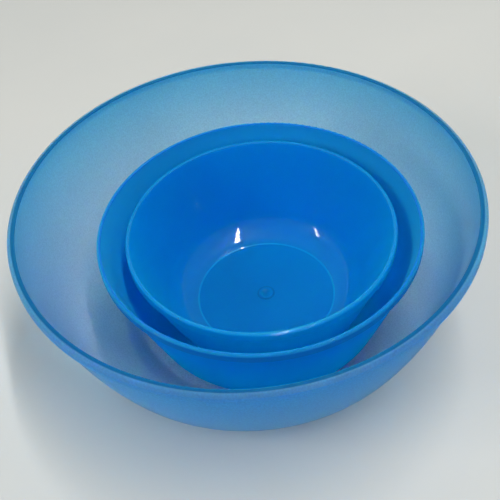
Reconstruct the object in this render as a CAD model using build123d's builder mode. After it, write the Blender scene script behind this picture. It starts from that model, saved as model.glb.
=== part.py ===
"""Set of three round nesting bowls, each a single moulding in translucent polypropylene.

Millimetres, +Z up. The origin is the centre of the large bowl's underside, on the surface that the
set stands on. The medium bowl stands on the floor of the large one, and the small bowl on the floor
of the medium one, each a little off centre, as loose bowls come to rest.
"""
import os
from dataclasses import dataclass
from math import cos, radians, sin, tan

from build123d import *

os.makedirs("parts", exist_ok=True)

# Sizes that all three mouldings share
wall = 2.0              # thickness of wall and floor
foot_height = 3.3       # the foot ring lifts the floor by this much
foot_width = 3.5        # across the ring at the table
foot_draft = 0.6        # how much wider the ring is where it meets the floor
foot_round = 0.6
lip_height = 5.5        # band around the outside of the rim
lip_roundness = 0.6     # radius of the lip's outer edge, as a share of its overhang
lip_inner_round = 0.6
lip_under_round = 0.5
panel_drop = 0.3        # the flat floor is a panel that lies this much below the curved wall's foot
panel_slope = 0.6       # width of the sloping edge around that panel
gate_disc_radius = 5.2  # low disc in the middle of the floor, opposite the moulding gate
gate_disc_rise = 0.5
gate_disc_round = 0.4
dimple_radius = 3.2     # round hollow in the top of that disc
dimple_depth = 0.7
gate_well_radius = 4.0  # recess under the floor, around the gate's stub
gate_well_depth = 0.5
gate_stub_radius = 1.3
gate_stub_length = 1.6
corner_level = foot_height + wall
floor_level = corner_level - panel_drop
seat_gap = 0.05         # air between a foot ring and the floor that it stands on


@dataclass
class BowlSize:
    """What differs from one bowl of the set to the next."""

    rim_radius: float    # outside of the lip
    height: float        # underside of the foot to the top of the rim
    lip_overhang: float  # how far the lip stands out from the wall
    floor_radius: float  # flat floor, and outside of the foot ring
    wall_slope: float    # degrees from upright at the rim
    corner_turn: float   # degrees that the tight lower curve takes before the wall's long curve
    centre: tuple        # X and Y of the axis
    base: float          # Z of the underside of the foot


large = BowlSize(140.0, 100.0, 3.4, 72.0, 8.5, 65.8, (0.0, 0.0), 0.0)
medium = BowlSize(97.0, 80.0, 1.8, 58.0, 17.0, 71.0, (6.8, -10.1), floor_level + seat_gap)
small = BowlSize(82.4, 67.0, 1.8, 45.0, 16.0, 68.0, (7.6, -5.5), 2 * (floor_level + seat_gap))


def wall_radii(size):
    """Radii of the two tangent arcs that lead from the flat floor to the underside of the lip."""
    turn = radians(size.corner_turn)
    end = radians(90 - size.wall_slope)
    run = size.rim_radius - size.lip_overhang - size.floor_radius
    rise = size.height - lip_height - foot_height
    corner_run = sin(turn)
    side_run = sin(end) - sin(turn)
    corner_rise = 1 - cos(turn)
    side_rise = cos(turn) - cos(end)
    scale = corner_run * side_rise - side_run * corner_rise
    corner_radius = (run * side_rise - side_run * rise) / scale
    side_radius = (corner_run * rise - run * corner_rise) / scale
    return corner_radius, side_radius


def build_bowl(size):
    """One moulding: foot ring, floor, curved wall and lip, with the marks of its gate."""
    corner_radius, side_radius = wall_radii(size)
    side_turn = 90 - size.wall_slope - size.corner_turn
    foot_inside = size.floor_radius - foot_width
    lip_bottom = size.height - lip_height
    origin = (*size.centre, size.base)

    with BuildPart() as bowl:
        # Half section, with X outwards from the axis and Y up from the underside of the foot
        with BuildSketch(Plane(origin, x_dir=(1, 0, 0), z_dir=(0, -1, 0))) as section:
            with BuildLine():
                # Outer skin
                corner = JernArc((size.floor_radius, foot_height), (1, 0), corner_radius, size.corner_turn)
                side = JernArc(corner @ 1, corner % 1, side_radius, side_turn)
                # Inner skin, parallel to the outer one and then straight behind the lip
                inner_corner = JernArc(
                    (size.floor_radius, corner_level), (1, 0), corner_radius - wall, size.corner_turn
                )
                inner_side = JernArc(inner_corner @ 1, inner_corner % 1, side_radius - wall, side_turn)
                rise_to_rim = size.height - (inner_side @ 1).Y
                rim_inside = (inner_side @ 1).X + rise_to_rim * tan(radians(size.wall_slope))
                # Lip
                Polyline(
                    side @ 1,
                    (size.rim_radius, lip_bottom),
                    (size.rim_radius, size.height),
                    (rim_inside, size.height),
                    inner_side @ 1,
                )
                # Floor and foot ring
                Polyline(
                    inner_corner @ 0,
                    (size.floor_radius - panel_slope, floor_level),
                    (0, floor_level),
                    (0, foot_height),
                    (foot_inside - foot_draft, foot_height),
                    (foot_inside, 0),
                    (size.floor_radius, 0),
                    (size.floor_radius, foot_height),
                )
            make_face()
            rounded = (
                ((size.rim_radius, size.height), lip_roundness * size.lip_overhang),
                ((rim_inside, size.height), lip_inner_round),
                ((size.rim_radius, lip_bottom), lip_under_round),
                ((size.floor_radius, 0), foot_round),
                ((foot_inside, 0), foot_round),
            )
            for point, radius in rounded:
                fillet(section.vertices().sort_by_distance(point)[0], radius)
        revolve(axis=Axis(origin, (0, 0, 1)))

        # Low disc opposite the gate, with a dimple in its top
        with BuildSketch(Plane(origin).offset(floor_level)):
            Circle(gate_disc_radius)
        disc = extrude(amount=gate_disc_rise)
        fillet(disc.edges().group_by(Axis.Z)[-1], gate_disc_round)
        dimple_ball = (dimple_radius**2 + dimple_depth**2) / (2 * dimple_depth)
        ball_height = floor_level + gate_disc_rise - dimple_depth + dimple_ball
        with Locations(Plane(origin).offset(ball_height)):
            Sphere(dimple_ball, mode=Mode.SUBTRACT)

        # Well under the floor, with the gate's stub standing down in it
        with BuildSketch(Plane(origin).offset(foot_height)):
            Circle(gate_well_radius)
        extrude(amount=gate_well_depth, mode=Mode.SUBTRACT)
        with BuildSketch(Plane(origin).offset(foot_height + gate_well_depth)):
            Circle(gate_stub_radius)
        extrude(amount=-gate_stub_length)
    return bowl


for name, size in (("large_bowl", large), ("medium_bowl", medium), ("small_bowl", small)):
    bowl = build_bowl(size)
    bowl.part.label = name
    export_step(bowl.part, f"parts/{name}.step")
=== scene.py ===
"""Looks, light and camera for a set of three nesting bowls in translucent plastic."""
import math
from dataclasses import dataclass

import bpy
from mathutils import Matrix, Vector


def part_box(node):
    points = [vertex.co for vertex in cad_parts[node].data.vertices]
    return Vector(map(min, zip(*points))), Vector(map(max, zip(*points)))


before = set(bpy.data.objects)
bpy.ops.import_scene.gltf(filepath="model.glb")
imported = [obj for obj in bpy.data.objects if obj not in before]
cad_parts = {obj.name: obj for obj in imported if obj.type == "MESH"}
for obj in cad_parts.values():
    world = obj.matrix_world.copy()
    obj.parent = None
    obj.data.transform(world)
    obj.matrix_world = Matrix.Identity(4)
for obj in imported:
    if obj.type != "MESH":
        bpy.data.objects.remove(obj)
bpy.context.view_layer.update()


def linear(red, green, blue):
    """A colour given as 0 to 255 display values, as linear light."""
    out = []
    for value in (red, green, blue):
        v = value / 255
        out.append(v / 12.92 if v <= 0.04045 else ((v + 0.055) / 1.055) ** 2.4)
    return out


# Camera: above and in front of the bowls, with a small tilt and roll of its own
LENS = 57.6
SENSOR = 36.0
CAMERA_DISTANCE = 0.4728
CAMERA_ELEVATION = math.radians(42.56)
CAMERA_LOOKS_DOWN = math.radians(46.57)
CAMERA_ROLL = math.radians(-6.19)

# Light of the room: the dim part, how much brighter its far walls are, and the daylight on its near side
ROOM_DIM = 0.2
ROOM_WALLS = 2.4
ROOM_NEAR = 2.2
ROOM_COLOUR = [1.0, 0.97, 0.88]
DAYLIGHT = [0.1, 0.6, 1.0]
BACKDROP = linear(205, 207, 204)

TABLE_SIZE = 12.0
TABLE_COLOURS = linear(192, 192, 188), linear(188, 189, 186)

# Places on each bowl, in metres
LIP_HEIGHT = 0.0055
CREST_DEPTH = 0.0007     # the lip's flat top lies above this depth
FLOOR_DEPTH = 0.0056     # the floor lies lower than this above the foot
FOOT_WIDTH = 0.0035      # ring under the floor
EDGE_INSET = 0.0003      # from the floor's outer radius in to the middle of the step around it
EDGE_WIDTH = 0.0007      # half the width of the painted highlight line on that step
DISC_RADIUS = 0.0052     # gate disc in the middle of the floor
RING_WIDTH = 0.0009      # half the width of the painted shade line around that disc
BLUR = 0.0002            # neighbouring regions blend over a few of these

# The plastic's unevenness, and painted shade on its floor
CLOUD_SCALE = 14.0
CLOUD_DARK = 0.96
CLOUD_LIGHT = 1.03
GRAIN_SCALE = 1000.0
NOISE_LOW = 0.3          # nearly all of the noise lies between these two
NOISE_HIGH = 0.7
GRAIN_DEPTH = 0.0003
SPECKS = 0.02            # how far the fine specks stray from the colour on smooth plastic
GRAIN_SPECKS = 0.4       # and how much more they do for each unit of grain
ROUGHNESS_SPREAD = 0.04
DEEPENS_FROM = 0.35      # share of the height where the wall starts to deepen in colour
# painted shade: the flat floor is darkened by the first factor, the groove round the gate disc by the second
PANEL_PAINTED_SHADE = 0.95
RING_PAINTED_SHADE = 0.75
CREST_THROUGH = 0.35     # share of the wall's clearness that the lip's thick top keeps
DULL_COAT = 0.1          # share of the glossy skin that is left on the crest, floor and outside
COAT_ROUGHNESS = 0.03


@dataclass
class Plastic:
    """One bowl's material."""

    name: str
    low_colour: list      # colour of the milky wall near the floor, painted paler there to stand in for light shining through the lower wall and between the bowls
    high_colour: list     # and near the rim, where it is deeper
    outside_glow_tint: list    # painted glow: tint on the outward and downward faces, standing in for light shining through the wall from inside
    crest_colour: list    # colour of the flat top of the lip
    crest_inset: float    # width of the lip's rounded outer edge, which the crest stops short of
    lip_painted_shade: float      # painted shade: how much darker the outside of the lip is painted, beside the wall
    floor_radius: float
    edge_painted_highlight: float     # painted highlight: how much lighter the step around the floor is painted, as if catching the light
    foot_clear: float     # how much of the light still passes through where the foot ring is
    through: float        # share of light that passes through the wall
    roughness: float
    ior: float
    specular: float
    coat: float           # strength of the glossy skin
    grain: float          # strength of the fine bump
    absorbs: tuple        # absorption of red, green and blue light in the wall, per metre
    spread: tuple         # how far red, green and blue light wander in the milky wall, in metres


@dataclass
class Regions:
    """Masks over one bowl. Each is 1 in its region and 0 elsewhere, apart from rise."""

    rise: object          # 0 in the lower wall, growing to 1 at the rim
    lip: object           # band of the lip's height
    crest: object         # flat top of the lip
    panel: object         # flat floor
    edge: object          # step around the floor
    ring: object          # edge of the gate disc
    foot: object          # foot ring, with the floor above it
    outside: object       # faces that look outwards or down


LARGE = Plastic(
    name="frosted pale blue",
    low_colour=[0.88, 0.83, 0.88],
    high_colour=[0.22, 0.55, 0.69],
    outside_glow_tint=[0.45, 1.0, 1.2],
    crest_colour=[0.005, 0.125, 0.26],
    crest_inset=0.0022,
    lip_painted_shade=0.97,
    floor_radius=0.072,
    edge_painted_highlight=1.0,
    foot_clear=0.3,
    through=0.78,
    roughness=0.45,
    ior=1.15,
    specular=0.1,
    coat=0.0,
    grain=0.3,
    absorbs=(380, 85, 5),
    spread=(0.002, 0.004, 0.008),
)
MEDIUM = Plastic(
    name="medium blue",
    low_colour=[0.008, 0.52, 1.0],
    high_colour=[0.014, 0.32, 0.62],
    outside_glow_tint=[0.1, 1.0, 1.3],
    crest_colour=[0.01, 0.16, 0.5],
    crest_inset=0.0011,
    lip_painted_shade=0.7,
    floor_radius=0.058,
    edge_painted_highlight=1.2,
    foot_clear=0.8,
    through=0.5,
    roughness=0.40,
    ior=1.04,
    specular=0.0,
    coat=0.3,
    grain=0.01,
    absorbs=(250, 25, 2),
    spread=(0.0005, 0.006, 0.008),
)
SMALL = Plastic(
    name="small blue",
    low_colour=[0.001, 0.32, 0.86],
    high_colour=[0.001, 0.33, 0.80],
    outside_glow_tint=[1.0, 1.7, 1.2],
    crest_colour=[0.01, 0.20, 0.50],
    crest_inset=0.0011,
    lip_painted_shade=0.9,
    floor_radius=0.045,
    edge_painted_highlight=1.6,
    foot_clear=1.0,
    through=0.5,
    roughness=0.35,
    ior=1.2,
    specular=0.0,
    coat=0.5,
    grain=0.02,
    absorbs=(1500, 25, 2),
    spread=(0.0005, 0.008, 0.008),
)


# Shader nodes

def new_material(name):
    material = bpy.data.materials.new(name)
    material.use_nodes = True
    tree = material.node_tree
    return material, tree, tree.nodes["Principled BSDF"]


def noise(tree, coordinates, scale, detail=2.0):
    node = tree.nodes.new("ShaderNodeTexNoise")
    node.inputs["Scale"].default_value = scale
    node.inputs["Detail"].default_value = detail
    tree.links.new(coordinates, node.inputs["Vector"])
    return node.outputs["Fac"]


def map_range(tree, value, low, high, to_low, to_high, smooth=False):
    node = tree.nodes.new("ShaderNodeMapRange")
    node.interpolation_type = "SMOOTHSTEP" if smooth else "LINEAR"
    for socket, number in zip(("From Min", "From Max", "To Min", "To Max"), (low, high, to_low, to_high)):
        node.inputs[socket].default_value = number
    tree.links.new(value, node.inputs["Value"])
    return node.outputs["Result"]


def fade(tree, mask, off, on):
    """The value off where the mask is 0, and on where it is 1."""
    return map_range(tree, mask, 0.0, 1.0, off, on)


def mix_colour(tree, factor, first, second):
    node = tree.nodes.new("ShaderNodeMix")
    node.data_type = "RGBA"
    tree.links.new(factor, node.inputs["Factor"])
    for socket, colour in ((node.inputs["A"], first), (node.inputs["B"], second)):
        if isinstance(colour, (list, tuple)):
            socket.default_value = (*colour, 1.0)
        else:
            tree.links.new(colour, socket)
    return node.outputs["Result"]


def math_node(tree, operation, first, second):
    node = tree.nodes.new("ShaderNodeMath")
    node.operation = operation
    for socket, value in zip(node.inputs, (first, second)):
        if isinstance(value, (int, float)):
            socket.default_value = value
        else:
            tree.links.new(value, socket)
    return node.outputs["Value"]


def multiply(tree, first, *others):
    product = first
    for value in others:
        product = math_node(tree, "MULTIPLY", product, value)
    return product


def vector_node(tree, operation, first, second=None):
    node = tree.nodes.new("ShaderNodeVectorMath")
    node.operation = operation
    tree.links.new(first, node.inputs[0])
    if isinstance(second, tuple):
        node.inputs[1].default_value = second
    elif second is not None:
        tree.links.new(second, node.inputs[1])
    return node.outputs["Value" if operation == "LENGTH" else "Vector"]


def split(tree, vector):
    """The vector's X, Y and Z."""
    node = tree.nodes.new("ShaderNodeSeparateXYZ")
    tree.links.new(vector, node.inputs["Vector"])
    return node.outputs["X"], node.outputs["Y"], node.outputs["Z"]


def around(tree, where, low, high):
    """Distance from the axis of the bowl that fills this box, and height."""
    centre = (low.x + high.x) / 2, (low.y + high.y) / 2, 0.0
    flat = vector_node(tree, "MULTIPLY", vector_node(tree, "SUBTRACT", where, centre), (1.0, 1.0, 0.0))
    return vector_node(tree, "LENGTH", flat), split(tree, where)[2]


def band(tree, value, middle, half_width):
    """1 where the value is at the middle, falling to 0 at half_width from it."""
    away = math_node(tree, "ABSOLUTE", math_node(tree, "SUBTRACT", value, middle), 0.0)
    return map_range(tree, away, 0.3 * half_width, half_width, 1.0, 0.0)


# The bowls

def find_regions(tree, kind, where, low, high):
    radius, height = around(tree, where, low, high)
    lip_bottom = high.z - LIP_HEIGHT
    lip = map_range(tree, height, lip_bottom - 3 * BLUR, lip_bottom + BLUR, 0.0, 1.0, smooth=True)
    crest_bottom = high.z - CREST_DEPTH
    top = map_range(tree, height, crest_bottom - BLUR, crest_bottom + BLUR, 0.0, 1.0)
    crest_edge = (high.x - low.x) / 2 - kind.crest_inset
    inside = map_range(tree, radius, crest_edge - 2 * BLUR, crest_edge + 2 * BLUR, 1.0, 0.0)

    floor_top = low.z + FLOOR_DEPTH
    floor = map_range(tree, height, floor_top, floor_top + 1.5 * BLUR, 1.0, 0.0)
    flat = map_range(tree, radius, kind.floor_radius - 5 * BLUR, kind.floor_radius, 1.0, 0.0)
    foot_edge = kind.floor_radius - FOOT_WIDTH
    beyond = map_range(tree, radius, foot_edge - 5 * BLUR, foot_edge, 0.0, 1.0)

    normal = tree.nodes.new("ShaderNodeNewGeometry").outputs["Normal"]
    return Regions(
        rise=map_range(tree, height, low.z + DEEPENS_FROM * (high.z - low.z), high.z, 0.0, 1.0),
        lip=lip,
        crest=multiply(tree, inside, top),
        panel=multiply(tree, floor, flat),
        edge=multiply(tree, floor, band(tree, radius, kind.floor_radius - EDGE_INSET, EDGE_WIDTH)),
        ring=multiply(tree, floor, band(tree, radius, DISC_RADIUS, RING_WIDTH)),
        foot=multiply(tree, floor, beyond),
        outside=map_range(tree, split(tree, normal)[2], -0.05, 0.08, 1.0, 0.0),
    )


def bowl_colour(tree, kind, regions, where, fine):
    """Milky colour, painted paler low down and deeper towards the rim, with clouds, specks, a painted glow on
    the outer faces, and painted shade and highlight in some regions.
    """
    speckle = SPECKS + GRAIN_SPECKS * kind.grain
    outer_lip = multiply(tree, regions.lip, regions.outside)
    shade = multiply(
        tree,
        map_range(tree, noise(tree, where, CLOUD_SCALE, 3.0), NOISE_LOW, NOISE_HIGH, CLOUD_DARK, CLOUD_LIGHT),
        map_range(tree, fine, NOISE_LOW, NOISE_HIGH, 1.0 - speckle, 1.0 + speckle),
        # painted shade on the flat floor and round the gate disc
        fade(tree, regions.panel, 1.0, PANEL_PAINTED_SHADE),
        fade(tree, regions.ring, 1.0, RING_PAINTED_SHADE),
        # painted highlight on the step around the floor
        fade(tree, regions.edge, 1.0, kind.edge_painted_highlight),
        # painted shade on the outside of the lip
        map_range(tree, outer_lip, 0.0, 0.5, 1.0, kind.lip_painted_shade),
    )
    # painted light: the wall is painted paler low down, deeper towards the rim
    wall = mix_colour(tree, regions.rise, kind.low_colour, kind.high_colour)
    # painted glow on the outward and downward faces
    tint = mix_colour(tree, regions.outside, [1.0, 1.0, 1.0], kind.outside_glow_tint)
    shaded = vector_node(tree, "MULTIPLY", vector_node(tree, "MULTIPLY", wall, tint), shade)
    capped = vector_node(tree, "MINIMUM", shaded, (1.0, 1.0, 1.0))
    return mix_colour(tree, regions.crest, capped, kind.crest_colour)


def grain_bump(tree, kind, regions, fine):
    """Fine grain everywhere but on the lip."""
    bump = tree.nodes.new("ShaderNodeBump")
    tree.links.new(fade(tree, regions.lip, kind.grain, 0.0), bump.inputs["Strength"])
    bump.inputs["Distance"].default_value = GRAIN_DEPTH
    tree.links.new(fine, bump.inputs["Height"])
    return bump.outputs["Normal"]


def add_absorption(tree, absorbs):
    density = max(absorbs)
    absorb = tree.nodes.new("ShaderNodeVolumeAbsorption")
    absorb.inputs["Color"].default_value = (*[1 - a / density for a in absorbs], 1.0)
    absorb.inputs["Density"].default_value = density
    tree.links.new(absorb.outputs["Volume"], tree.nodes["Material Output"].inputs["Volume"])


def plastic(kind, low, high):
    """Milky, partly clear plastic for the bowl that fills this box."""
    material, tree, shader = new_material(kind.name)
    where = tree.nodes.new("ShaderNodeTexCoord").outputs["Object"]
    regions = find_regions(tree, kind, where, low, high)
    fine = noise(tree, where, GRAIN_SCALE)

    spread = map_range(tree, fine, NOISE_LOW, NOISE_HIGH, -ROUGHNESS_SPREAD, ROUGHNESS_SPREAD)
    crest_through = fade(tree, regions.crest, kind.through, CREST_THROUGH * kind.through)
    inner_dull = math_node(tree, "MAXIMUM", regions.crest, regions.panel)
    dull = math_node(tree, "MAXIMUM", inner_dull, regions.outside)
    varied = {
        "Base Color": bowl_colour(tree, kind, regions, where, fine),
        "Roughness": math_node(tree, "ADD", spread, kind.roughness),
        "Normal": grain_bump(tree, kind, regions, fine),
        "Transmission Weight": multiply(tree, crest_through, fade(tree, regions.foot, 1.0, kind.foot_clear)),
        "Coat Weight": fade(tree, dull, kind.coat, DULL_COAT * kind.coat),
    }
    for socket, value in varied.items():
        tree.links.new(value, shader.inputs[socket])

    even = {
        "Coat Roughness": COAT_ROUGHNESS,
        "IOR": kind.ior,
        "Subsurface Weight": 1.0,
        "Subsurface Radius": kind.spread,
        "Subsurface Scale": 1.0,
        "Specular IOR Level": kind.specular,
    }
    for socket, value in even.items():
        shader.inputs[socket].default_value = value
    add_absorption(tree, kind.absorbs)
    return material


def dress(node, material):
    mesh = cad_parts[node].data
    mesh.materials.clear()
    mesh.materials.append(material)


# The studio

def add_floor():
    bpy.ops.mesh.primitive_plane_add(size=TABLE_SIZE)
    floor = bpy.context.object
    floor.name = "floor"
    material, tree, shader = new_material("pale table")
    where = tree.nodes.new("ShaderNodeTexCoord").outputs["Object"]
    shade = map_range(tree, noise(tree, where, 6.0, 4.0), NOISE_LOW, NOISE_HIGH, 0.0, 1.0)
    tree.links.new(mix_colour(tree, shade, *TABLE_COLOURS), shader.inputs["Base Color"])
    shader.inputs["Roughness"].default_value = 0.7
    shader.inputs["Specular IOR Level"].default_value = 0.2
    floor.data.materials.append(material)


def add_lamp(name, start, end, width, target, power):
    """A rectangular lamp that runs from start to end and faces the target."""
    start, end = Vector(start), Vector(end)
    middle = (start + end) / 2
    along = (end - start).normalized()
    across = (middle - Vector(target)).cross(along).normalized()
    light = bpy.data.lights.new(name, "AREA")
    light.shape = "RECTANGLE"
    light.size = (end - start).length
    light.size_y = width
    light.energy = power
    lamp = bpy.data.objects.new(name, light)
    turn = Matrix((along, across, along.cross(across))).transposed()
    lamp.matrix_world = Matrix.Translation(middle) @ turn.to_4x4()
    bpy.context.scene.collection.objects.link(lamp)


def add_world():
    """A dim room with bright low walls behind the bowls and bluish daylight low on the near side.

    Looked at directly, it is a plain pale backdrop.
    """
    world = bpy.data.worlds.new("room")
    world.use_nodes = True
    tree = world.node_tree
    sideways, upwards = split(tree, tree.nodes.new("ShaderNodeTexCoord").outputs["Generated"])[1:]
    low = map_range(tree, upwards, 0.3, 0.6, 1.0, 0.0, smooth=True)
    far = map_range(tree, sideways, 0.0, 0.75, 0.0, ROOM_WALLS, smooth=True)
    walls = math_node(tree, "ADD", multiply(tree, low, far), ROOM_DIM)
    lowest = map_range(tree, upwards, 0.1, 0.4, 1.0, 0.0, smooth=True)
    near = map_range(tree, sideways, -0.5, 0.1, ROOM_NEAR, 0.0, smooth=True)
    glow = multiply(tree, near, lowest)
    room = mix_colour(tree, glow, ROOM_COLOUR, DAYLIGHT)

    seen = tree.nodes.new("ShaderNodeLightPath").outputs["Is Camera Ray"]
    unseen = math_node(tree, "SUBTRACT", 1.0, seen)
    strength = multiply(tree, math_node(tree, "ADD", walls, glow), unseen)
    sky = tree.nodes["Background"]
    tree.links.new(mix_colour(tree, seen, room, BACKDROP), sky.inputs["Color"])
    tree.links.new(math_node(tree, "ADD", strength, seen), sky.inputs["Strength"])
    bpy.context.scene.world = world


def add_camera():
    data = bpy.data.cameras.new("camera")
    data.lens = LENS
    data.sensor_width = SENSOR
    camera = bpy.data.objects.new("camera", data)
    target = Vector((0, 0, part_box("large_bowl")[1].z))
    back = Vector((0, -math.cos(CAMERA_ELEVATION), math.sin(CAMERA_ELEVATION)))
    turn = Matrix.Rotation(math.pi / 2 - CAMERA_LOOKS_DOWN, 4, "X") @ Matrix.Rotation(CAMERA_ROLL, 4, "Z")
    camera.matrix_world = Matrix.Translation(target + back * CAMERA_DISTANCE) @ turn
    bpy.context.scene.collection.objects.link(camera)
    bpy.context.scene.camera = camera


for node, kind in (("large_bowl", LARGE), ("medium_bowl", MEDIUM), ("small_bowl", SMALL)):
    dress(node, plastic(kind, *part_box(node)))

add_floor()
add_world()
add_lamp("lamp_above", (0.75, -1.45, 1.8), (0.24, 0.5, 1.8), 0.07, (0.5, -0.4, 0.0), 34.0)
add_lamp("window", (-1.63, -0.87, 0.65), (-1.4, -0.27, 1.35), 0.12, (0.0, 0.0, 0.02), 14.0)
add_camera()
bpy.context.scene.view_settings.view_transform = "Standard"
